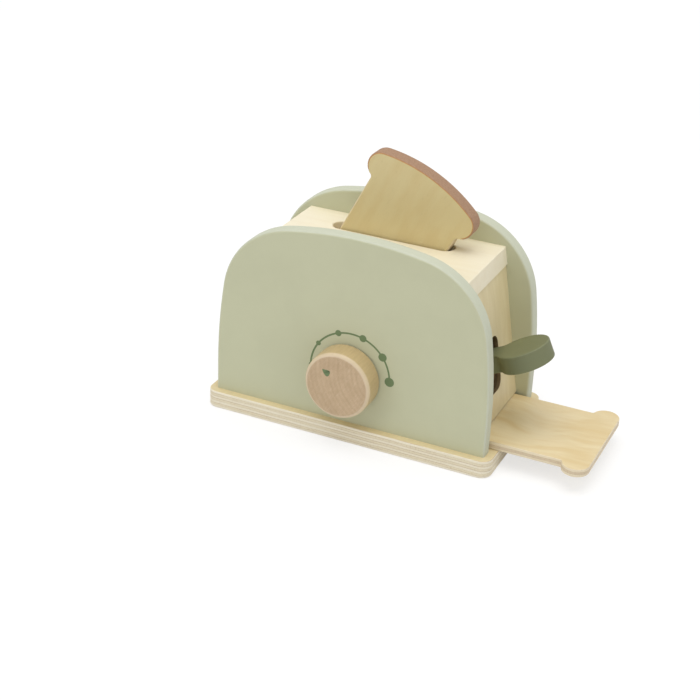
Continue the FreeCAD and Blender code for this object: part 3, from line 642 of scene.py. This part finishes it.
@dataclass(frozen=True)
class TurnedBeech:
    """A disc cut across the grain: growth rings on its face, rays on its side, and a painted
    highlight on its rounded edge.
    """

    name: str
    light: Colour
    dark: Colour
    rim: Colour
    side: Colour
    pith: tuple[float, float]
    ring: float = 3.1 * MM
    sway: float = 2.6 * MM
    sway_scale: float = 60.0
    slow_scale: float = 320.0
    cloud_scale: float = 130.0
    pore_scale: float = 1500.0
    ray_scale: float = 1900.0
    fibre_scale: float = 900.0
    ring_share: float = 0.38
    cloud_share: float = 0.25
    pore_share: float = 0.28
    ray_share: float = 0.22
    fibre_share: float = 0.45
    fibre_shade: float = 0.80
    # How much painted highlight the rounded edge gets, in the pale rim tone
    rim_highlight_share: float = 0.60
    roughness: float = 0.42
    relief: float = 0.05 * MM
    coat: float = 0.08
    coat_roughness: float = 0.03

    def _rays(self, graph: Graph, where: Socket) -> Socket:
        """Return the fine pale rays that cross the growth rings.

        Args:
            graph: The material's graph.
            where: The object's coordinates.
        """
        outward = Vector((-self.pith[0], 0.0, -self.pith[1])).normalized()
        sideways = Vector((outward.z, 0.0, -outward.x))
        along = graph.vector("DOT_PRODUCT", where, tuple(outward)).outputs["Value"]
        cross = graph.vector("DOT_PRODUCT", where, tuple(sideways)).outputs["Value"]
        lain = graph.add("ShaderNodeCombineXYZ",
                         {0: graph.math("MULTIPLY", along, 0.08), 1: cross})
        return graph.step(graph.noise(lain.outputs[0], self.ray_scale, 2.0, 0.6), 0.52, 0.70)

    def make(self, effects: Effects) -> bpy.types.Material:
        """Build the material.

        Args:
            effects: The shared groups.

        Returns:
            The material.
        """
        finish = Finish(self.name)
        graph = finish.graph
        parts = graph.add("ShaderNodeSeparateXYZ", {0: finish.where})
        sideways = graph.math("SUBTRACT", parts.outputs[0], self.pith[0])
        upwards = graph.math("SUBTRACT", parts.outputs[2], self.pith[1])
        flat = graph.add("ShaderNodeCombineXYZ", {0: sideways, 2: upwards})
        away = graph.vector("LENGTH", flat.outputs[0]).outputs["Value"]
        sway = graph.noise(finish.where, self.sway_scale, 3.0, 0.55)
        away = graph.math("MULTIPLY_ADD", sway, self.sway, away)
        slow = graph.noise(graph.add("ShaderNodeCombineXYZ", {0: away}).outputs[0],
                           self.slow_scale, 3.0)
        turn = graph.math("MULTIPLY", away, math.tau / self.ring)
        band = graph.math("MULTIPLY_ADD", graph.math("SINE", turn), 0.5, 0.5)
        band = graph.math("MULTIPLY", band, graph.step(slow, 0.3, 0.7))
        rays = self._rays(graph, finish.where)
        pores = graph.noise(finish.where, self.pore_scale, 2.0, 0.6)
        pores = graph.step(pores, 0.50, 0.68)
        cloud = graph.noise(finish.where, self.cloud_scale, 3.0, 0.55)
        cloud = graph.step(cloud, 0.35, 0.65)
        colour = opaque(self.light)
        for mask, share, tone in ((band, self.ring_share, self.dark),
                                  (cloud, self.cloud_share, self.dark),
                                  (pores, self.pore_share, self.dark),
                                  (rays, self.ray_share, self.rim)):
            colour = graph.tint(colour, mask, share, tone)
        lain = graph.vector("MULTIPLY", finish.where, (1.0, 0.10, 1.0)).outputs[0]
        fibres = graph.step(graph.noise(lain, self.fibre_scale, 3.0, 0.65), 0.35, 0.70)
        barrel = graph.tint(opaque(self.side), fibres, self.fibre_share,
                            shaded(self.side, self.fibre_shade))
        rim = graph.place(effects.rim, {"Normal": finish.normal, "Axis": Across.Y.value})
        colour = graph.mix(rim.outputs["Side"], colour, barrel)
        # Painted highlight: the rounded edge is tinted with the pale rim tone
        colour = graph.tint(colour, rim.outputs["Rounding"], self.rim_highlight_share, self.rim)
        rough = graph.math("MULTIPLY_ADD", band, 0.10, self.roughness)
        height = graph.math("SUBTRACT", graph.math("MULTIPLY", fibres, 0.6), pores)
        finish.coat(colour, rough, height, self.relief)
        finish.varnish(self.coat, self.coat_roughness)
        return finish.material


@dataclass(frozen=True)
class Toast:
    """Plywood bread: natural faces and a brown painted crust round its upper edge."""

    name: str
    wood: Plywood
    crust: Colour
    crust_dark: Colour
    scorch: Colour
    crust_from: float
    paint_end: float = 0.3 * MM
    brush: float = 900.0
    relief: float = 0.06 * MM

    def make(self, effects: Effects, turn: Matrix) -> bpy.types.Material:
        """Build the material.

        Args:
            effects: The shared groups.
            turn: What takes the object's coordinates to the slice's own.

        Returns:
            The material.
        """
        finish = Finish(self.name, turn)
        graph = finish.graph
        colour, rough, height = self.wood.surface(finish, effects)
        up = graph.add("ShaderNodeSeparateXYZ", {0: finish.where}).outputs[2]
        above = graph.step(up, self.crust_from - self.paint_end,
                           self.crust_from + self.paint_end)
        lean = graph.add("ShaderNodeSeparateXYZ", {0: finish.normal}).outputs[1]
        lean = graph.math("ABSOLUTE", lean)
        edge = graph.math("SUBTRACT", 1.0, graph.step(lean, 0.80, 0.88))
        line = graph.math("SUBTRACT", 1.0, graph.step(lean, 0.975, 0.997))
        strokes = graph.step(graph.noise(finish.where, self.brush, 3.0, 0.6), 0.3, 0.7)
        paint = graph.mix(strokes, opaque(self.crust), opaque(self.crust_dark))
        colour = graph.mix(graph.math("MULTIPLY", line, above), colour, opaque(self.scorch))
        painted = graph.math("MULTIPLY", edge, above)
        colour = graph.mix(painted, colour, paint)
        rough = graph.math("MULTIPLY_ADD", painted, 0.12, rough)
        finish.coat(colour, rough, height, self.relief)
        return finish.material


@dataclass(frozen=True)
class ZincSteel:
    """Zinc-plated steel with duller patches and fine marks."""

    name: str
    colour: Colour = srgb(190, 190, 184)
    dull_shade: float = 0.8
    roughness: float = 0.30
    marks: float = 2500.0
    relief: float = 0.02 * MM

    def make(self, effects: Effects) -> bpy.types.Material:
        """Build the material.

        Args:
            effects: The shared groups.

        Returns:
            The material.
        """
        finish = Finish(self.name)
        graph = finish.graph
        hands = graph.place(effects.handling, {"Vector": finish.where})
        colour = graph.mix(hands.outputs["Patches"], opaque(self.colour),
                           opaque(shaded(self.colour, self.dull_shade)))
        marks = graph.noise(finish.where, self.marks)
        rough = graph.math("MULTIPLY_ADD", hands.outputs["Patches"], 0.12, self.roughness)
        finish.coat(colour, rough, marks, self.relief)
        finish.shader.inputs["Metallic"].default_value = 1.0
        return finish.material


def middle(node: str) -> Vector:
    """Return the middle of a CAD node's box.

    Args:
        node: The node's name.
    """
    low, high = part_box(node)
    return (low + high) / 2


def dress(node: str, material: bpy.types.Material) -> None:
    """Give a CAD node one material.

    Args:
        node: The node's name.
        material: What it shows.
    """
    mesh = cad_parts[node].data
    mesh.materials.clear()
    mesh.materials.append(material)
    LOG.info("dressed %s with %s", node, material.name)


def new_piece(name: str, mesh: bmesh.types.BMesh, material: bpy.types.Material,
              body: str, smooth: bool = True) -> bpy.types.Object:
    """Turn a bmesh into a piece that rides on a body.

    Args:
        name: The piece's name.
        mesh: Its shape, already in place. It is freed here.
        material: Its finish.
        body: The CAD body that it moves with.
        smooth: Whether its faces are shaded smooth.

    Returns:
        The piece.
    """
    bmesh.ops.remove_doubles(mesh, verts=mesh.verts[:], dist=0.001 * MM)
    bmesh.ops.recalc_face_normals(mesh, faces=mesh.faces[:])
    for face in mesh.faces:
        face.smooth = smooth
    data = bpy.data.meshes.new(name)
    mesh.to_mesh(data)
    mesh.free()
    data.materials.append(material)
    piece = bpy.data.objects.new(name, data)
    bpy.context.scene.collection.objects.link(piece)
    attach(piece, body)
    LOG.info("made %s on %s", name, body)
    return piece


def thicken(mesh: bmesh.types.BMesh, depth: float) -> None:
    """Give flat ink its thickness, towards the front.

    Args:
        mesh: Flat faces that face the front.
        depth: How thick the ink is.
    """
    made = bmesh.ops.extrude_face_region(mesh, geom=mesh.faces[:], use_keep_orig=True)
    verts = [item for item in made["geom"] if isinstance(item, bmesh.types.BMVert)]
    bmesh.ops.translate(mesh, verts=verts, vec=(0, -depth, 0))


@dataclass
class Housing:
    """The base, the two painted panels, the top, the end walls and what they hide."""

    effects: Effects
    wall_lean: float = math.radians(9.9)
    wall_thick: float = 10 * MM
    # The sage's paler rounded edges are partly wear and partly a painted highlight
    sage: Paint = Paint("Sage paint", srgb(198, 199, 168), srgb(199, 202, 181), wear_and_highlight=0.06)
    cream: SolidWood = SolidWood("Pale maple", srgb(240, 231, 205), srgb(233, 220, 188),
                                 streak=200.0, contrast=0.5, flecks=0.05)
    hidden: SolidWood = SolidWood("Maple strip", srgb(232, 216, 180), srgb(214, 192, 148))

    def base(self) -> None:
        """Dress the base plate."""
        low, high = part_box("base_plate")
        plywood = Plywood(
            "Base plywood", srgb(232, 215, 171), srgb(219, 201, 156), srgb(241, 233, 213),
            srgb(230, 219, 190), Across.Z, low.z, high.z - low.z, 7, broad=0.2,
            seam=srgb(170, 132, 82), seam_share=0.85)
        dress("base_plate", plywood.make(self.effects))

    def panels(self) -> None:
        """Dress the two painted panels."""
        paint = self.sage.make(self.effects)
        for node in ("front_panel", "back_panel"):
            dress(node, paint)

    def walls(self) -> None:
        """Dress the end walls, whose plies lean with them and whose cut edges are painted dark
        brown as painted shade in the lever opening.
        """
        for node, side in (("right_wall", 1), ("left_wall", -1)):
            low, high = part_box(node)
            outer = high.x if side > 0 else low.x
            foot = Vector((outer, 0, low.z))
            turn = Matrix.Rotation(side * self.wall_lean, 4, "Y") @ Matrix.Translation(-foot)
            start = -self.wall_thick if side > 0 else 0.0
            # Painted shade: the cut edges' ply colours are dark brown, which darkens the lever
            # opening
            plywood = Plywood(
                f"End plywood {node}", srgb(230, 216, 175), srgb(215, 197, 151),
                srgb(142, 120, 86), srgb(112, 92, 62), Across.X, start, self.wall_thick, 5,
                Grain.ALONG_Z, streak=260.0, contrast=0.30, broad=0.45,
                tint=srgb(208, 190, 138))
            dress(node, plywood.make(self.effects, turn))

    def inside(self) -> None:
        """Dress the top and the strips and boards under it."""
        dress("top_panel", self.cream.make(self.effects))
        strip = self.hidden.make(self.effects)
        for node in ("centre_rail", "front_guide", "back_guide", "bread_rest"):
            dress(node, strip)
        low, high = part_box("inner_floor")
        board = Plywood(
            "Floor plywood", srgb(222, 206, 164), srgb(206, 186, 140), srgb(228, 212, 182),
            srgb(200, 180, 142), Across.Z, low.z, high.z - low.z, 3)
        dress("inner_floor", board.make(self.effects))

    def build(self) -> None:
        """Dress the whole housing."""
        self.base()
        self.panels()
        self.walls()
        self.inside()


@dataclass
class Dial:
    """The printed scale on the front panel: an arc with dots that grow along it."""

    effects: Effects
    centre_x: float = 1.2 * MM
    centre_z: float = 47.5 * MM
    radius: float = 27.4 * MM
    line: float = 1.2 * MM
    line_thick: float = 0.03 * MM
    dot_thick: float = 0.05 * MM
    arc_from: float = 1.0
    arc_to: float = 181.0
    arc_steps: int = 90
    dot_sides: int = 48
    dots: tuple[tuple[float, float], ...] = (
        (1.0, 6.4), (37.0, 5.6), (73.0, 4.8), (109.0, 4.2), (145.0, 3.3), (181.0, 2.6))
    ink: Paint = Paint("Green print", srgb(112, 131, 92), srgb(112, 131, 92), roughness=0.6)

    def _spot(self, angle: float, reach: float) -> Vector:
        """Return a point of the scale, on the panel's front face.

        Args:
            angle: Degrees from +X towards +Z.
            reach: Distance from the scale's centre.
        """
        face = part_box("front_panel")[0].y
        turn = math.radians(angle)
        return Vector((self.centre_x + reach * math.cos(turn), face,
                       self.centre_z + reach * math.sin(turn)))

    def arc(self, material: bpy.types.Material) -> None:
        """Make the scale's arc.

        Args:
            material: The print.
        """
        mesh = bmesh.new()
        ends = [mesh.verts.new(self._spot(self.arc_from, self.radius + side * self.line / 2))
                for side in (-1, 1)]
        edge = mesh.edges.new(ends)
        hub = Vector((self.centre_x, ends[0].co.y, self.centre_z))
        bmesh.ops.spin(mesh, geom=[*ends, edge], cent=hub, axis=(0, -1, 0),
                       angle=math.radians(self.arc_to - self.arc_from), steps=self.arc_steps)
        thicken(mesh, self.line_thick)
        new_piece("dial_arc", mesh, material, "toaster", smooth=False)

    def spots(self, material: bpy.types.Material) -> None:
        """Make the scale's dots.

        Args:
            material: The print.
        """
        mesh = bmesh.new()
        for angle, width in self.dots:
            place = Matrix.Translation(self._spot(angle, self.radius))
            upright = Matrix.Rotation(math.radians(90), 4, "X")
            bmesh.ops.create_circle(mesh, cap_ends=True, segments=self.dot_sides,
                                    radius=width * MM / 2, matrix=place @ upright)
        thicken(mesh, self.dot_thick)
        new_piece("dial_dots", mesh, material, "toaster", smooth=False)

    def build(self) -> None:
        """Make the scale."""
        material = self.ink.make(self.effects)
        self.arc(material)
        self.spots(material)


@dataclass
class Knob:
    """The turned knob with its printed mark."""

    effects: Effects
    front_round: float = 3.0 * MM
    back_round: float = 1.2 * MM
    round_segments: int = 8
    turn_steps: int = 128
    face_sink: float = 0.06 * MM
    pith_right: float = 34 * MM
    pith_up: float = 14 * MM
    mark_thick: float = 0.04 * MM
    mark_round: float = 0.9 * MM
    mark: tuple[tuple[float, float], ...] = (
        (-10.3, 10.2), (-5.2, 10.1), (-4.4, 9.1), (-5.2, 6.4), (-6.9, 5.4), (-8.6, 6.9))
    ink: Paint = Paint("Knob print", srgb(112, 131, 92), srgb(112, 131, 92), roughness=0.6)

    def turned(self) -> None:
        """Make the knob as one turned body, from its profile."""
        low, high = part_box("knob")
        centre = middle("knob")
        radius = (high.x - low.x) / 2
        front, back = low.y + self.face_sink, high.y
        mesh = bmesh.new()
        profile = [(0.0, back), (radius, back), (radius, front), (0.0, front)]
        verts = [mesh.verts.new((centre.x + reach, place, centre.z)) for reach, place in profile]
        for pair in zip(verts, verts[1:]):
            mesh.edges.new(pair)
        for vert, size in ((verts[2], self.front_round), (verts[1], self.back_round)):
            bmesh.ops.bevel(mesh, geom=[vert], offset=size, segments=self.round_segments,
                            profile=0.5, affect="VERTICES", material=-1)
        bmesh.ops.spin(mesh, geom=mesh.verts[:] + mesh.edges[:], cent=centre, axis=(0, 1, 0),
                       angle=math.tau, steps=self.turn_steps, use_merge=True)
        rings = TurnedBeech(
            "Turned beech", srgb(199, 173, 139), srgb(166, 137, 103), srgb(226, 208, 180),
            srgb(202, 178, 132), (centre.x + self.pith_right, centre.z + self.pith_up))
        piece = new_piece("knob_turned", mesh, rings.make(self.effects), "knob")
        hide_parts("knob")

    def printed(self) -> None:
        """Make the printed pointer on the knob's face."""
        centre = middle("knob")
        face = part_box("knob")[0].y + self.face_sink
        mesh = bmesh.new()
        outline = [mesh.verts.new((centre.x + x * MM, face, centre.z + z * MM))
                   for x, z in self.mark]
        mesh.faces.new(outline)
        bmesh.ops.bevel(mesh, geom=outline, offset=self.mark_round, segments=5, profile=0.5,
                        affect="VERTICES", material=-1)
        thicken(mesh, self.mark_thick)
        new_piece("knob_mark", mesh, self.ink.make(self.effects), "knob",
                  smooth=False)

    def build(self) -> None:
        """Make the knob and its mark."""
        self.turned()
        self.printed()


@dataclass
class Movers:
    """The tray, the lever, the slice and everything of beech dowel."""

    effects: Effects
    lever_angle: float = math.radians(25)
    slice_tilt: float = math.radians(27)
    crust_from: float = 62 * MM

    def tray(self) -> None:
        """Dress the tray as three-ply board."""
        low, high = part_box("tray")
        plywood = Plywood(
            "Tray plywood", srgb(235, 218, 178), srgb(224, 205, 160), srgb(236, 222, 192),
            srgb(216, 197, 166), Across.Z, low.z, high.z - low.z, 3, streak=300.0,
            contrast=0.45, broad=0.75, tint=srgb(217, 188, 128), seam_share=0.30)
        dress("tray", plywood.make(self.effects))

    def lever(self) -> None:
        """Dress the lever, whose paint follows its slope."""
        pivot = middle("lever_pivot")
        turn = Matrix.Rotation(self.lever_angle, 4, "Y") @ Matrix.Translation(-pivot)
        # The lever's paler rounded edges are partly wear and partly a painted highlight
        olive = Paint("Olive paint", srgb(121, 124, 89), srgb(119, 123, 91),
                      worn_and_lit_tone=srgb(150, 153, 120), wear_and_highlight=0.2, face_axis=Across.Z)
        dress("lever", olive.make(self.effects, turn))

    def dowels(self) -> None:
        """Dress the lever's two bars and the dowels that join the boards."""
        beech = SolidWood("Beech dowel", srgb(214, 186, 146), srgb(190, 160, 120),
                          Grain.ALONG_Y).make(self.effects)
        for node in ("lever_pivot", "lift_bar", "front_dowels", "back_dowels"):
            dress(node, beech)

    def toast(self) -> None:
        """Dress the slice in its own leaning frame, from its foot."""
        low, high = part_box("toast_slice")
        upright = Matrix.Rotation(-self.slice_tilt, 4, "Y")
        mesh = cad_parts["toast_slice"].data
        own = [upright @ vert.co for vert in mesh.vertices]
        foot = min(point.z for point in own)
        turn = Matrix.Translation((0, 0, -foot)) @ upright
        wood = Plywood(
            "Slice plywood", srgb(219, 203, 154), srgb(209, 191, 138), srgb(226, 210, 174),
            srgb(202, 180, 138), Across.Y, low.y, high.y - low.y, 7, Grain.ALONG_Z,
            contrast=0.12, broad=0.30, tint=srgb(206, 178, 118))
        bread = Toast("Toast", wood, srgb(172, 138, 110), srgb(158, 123, 96),
                      srgb(188, 134, 78), self.crust_from)
        dress("toast_slice", bread.make(self.effects, turn))

    def build(self) -> None:
        """Dress them all."""
        self.tray()
        self.lever()
        self.dowels()
        self.toast()


@dataclass
class Hardware:
    """The steel screws, the washer and the spacer."""

    effects: Effects

    def build(self) -> None:
        """Dress every steel node."""
        steel = ZincSteel("Zinc steel").make(self.effects)
        for node in ("base_screws", "knob_screw", "knob_washer", "knob_spacer"):
            dress(node, steel)


@dataclass(frozen=True)
class Lamp:
    """A soft square lamp: where it hangs, its side and its power."""

    name: str
    place: tuple[float, float, float]
    size: float
    watts: float

    def hang(self, target: Vector) -> None:
        """Hang the lamp.

        Args:
            target: The point that it looks at.
        """
        data = bpy.data.lights.new(self.name, "AREA")
        data.size = self.size
        data.energy = self.watts
        lamp = bpy.data.objects.new(self.name, data)
        aim = target - Vector(self.place)
        lamp.matrix_world = (Matrix.Translation(self.place)
                             @ aim.to_track_quat("-Z", "Y").to_matrix().to_4x4())
        bpy.context.scene.collection.objects.link(lamp)


@dataclass
class Studio:
    """The pale floor, the soft lamps and the camera."""

    place: Vector = field(default_factory=lambda: Vector((0.3325, -0.7984, 0.4757)))
    yaw: float = math.radians(23.81)
    pitch: float = math.radians(26.63)
    roll: float = math.radians(2.66)
    lens: float = 75.37
    film: float = 36.0
    near: float = 10 * MM
    lit_height: float = 70 * MM
    lamps: tuple[Lamp, ...] = (
        Lamp("overhead", (0.1, -0.12, 1.7), 1.5, 15.5),
        Lamp("key", (-1.1, -1.3, 0.9), 1.0, 4.5),
        Lamp("fill", (1.5, -0.8, 0.7), 1.0, 1.5))
    floor_half: float = 4.0
    world_light: float = 0.62
    floor_drop: float = 0.05 * MM
    floor_pale: Colour = (0.80, 0.80, 0.80)
    floor_glow: float = 0.66
    floor_lift: float = 1.04
    shadow_from: float = 0.35
    shadow_to: float = 0.90

    def camera(self) -> None:
        """Stand the camera where the photograph was taken."""
        forward = Vector((-math.sin(self.yaw) * math.cos(self.pitch),
                          math.cos(self.yaw) * math.cos(self.pitch), -math.sin(self.pitch)))
        right = Vector((math.cos(self.yaw), math.sin(self.yaw), 0))
        above = right.cross(forward)
        side = math.cos(self.roll) * right + math.sin(self.roll) * above
        top = math.cos(self.roll) * above - math.sin(self.roll) * right
        turn = Matrix((side, top, -forward)).transposed()
        data = bpy.data.cameras.new("camera")
        data.lens = self.lens
        data.sensor_width = self.film
        data.clip_start = self.near
        camera = bpy.data.objects.new("camera", data)
        camera.matrix_world = Matrix.Translation(self.place) @ turn.to_4x4()
        bpy.context.scene.collection.objects.link(camera)
        bpy.context.scene.camera = camera

    def world(self) -> None:
        """Set a soft grey sky that the camera sees as white."""
        world = bpy.data.worlds.new("Studio")
        world.use_nodes = True
        graph = Graph(world.node_tree)
        seen = graph.add("ShaderNodeLightPath").outputs["Is Camera Ray"]
        background = world.node_tree.nodes["Background"]
        strength = graph.math("MULTIPLY_ADD", seen, 1.0 - self.world_light, self.world_light)
        graph.feed(strength, background.inputs["Strength"])
        background.inputs["Color"].default_value = (1, 1, 1, 1)
        bpy.context.scene.world = world

    def floor(self) -> None:
        """Lay the pale floor, which keeps the toaster's shadow and is white farther away."""
        mesh = bmesh.new()
        bmesh.ops.create_grid(mesh, x_segments=1, y_segments=1, size=self.floor_half)
        bmesh.ops.translate(mesh, verts=mesh.verts[:], vec=(0, 0, -self.floor_drop))
        data = bpy.data.meshes.new("floor")
        mesh.to_mesh(data)
        mesh.free()
        floor = bpy.data.objects.new("floor", data)
        bpy.context.scene.collection.objects.link(floor)
        material = bpy.data.materials.new("Pale floor")
        material.use_nodes = True
        graph = Graph(material.node_tree)
        shader = material.node_tree.nodes["Principled BSDF"]
        path = graph.add("ShaderNodeLightPath")
        where = graph.add("ShaderNodeTexCoord").outputs["Object"]
        away = graph.vector("LENGTH", where).outputs["Value"]
        far = graph.step(away, self.shadow_from, self.shadow_to)
        glow = graph.math("MULTIPLY_ADD", far, 1.0 - self.floor_glow, self.floor_glow)
        lit = (self.floor_lift * (1 - self.floor_glow),) * 3
        left = graph.mix(far, opaque(lit), (0, 0, 0, 1))
        seen = graph.math("MAXIMUM", path.outputs["Is Camera Ray"],
                          path.outputs["Is Glossy Ray"])
        colour = graph.mix(seen, opaque(self.floor_pale), left)
        graph.feed(colour, shader.inputs["Base Color"])
        shader.inputs["Emission Color"].default_value = (1, 1, 1, 1)
        graph.feed(graph.math("MULTIPLY", seen, glow), shader.inputs["Emission Strength"])
        shader.inputs["Roughness"].default_value = 0.9
        shader.inputs["Specular IOR Level"].default_value = 0.1
        data.materials.append(material)

    def build(self) -> None:
        """Set the whole studio."""
        self.camera()
        self.world()
        self.floor()
        for lamp in self.lamps:
            lamp.hang(Vector((0.0, 0.0, self.lit_height)))
        bpy.context.scene.view_settings.view_transform = "Standard"


def main() -> None:
    """Dress and build every sub-assembly, then set the studio."""
    logging.basicConfig(level=logging.INFO, format="%(name)s: %(message)s")
    effects = Effects()
    for maker in (Housing, Dial, Knob, Movers, Hardware):
        maker(effects).build()
    Studio().build()


if __name__ == "__main__":
    main()
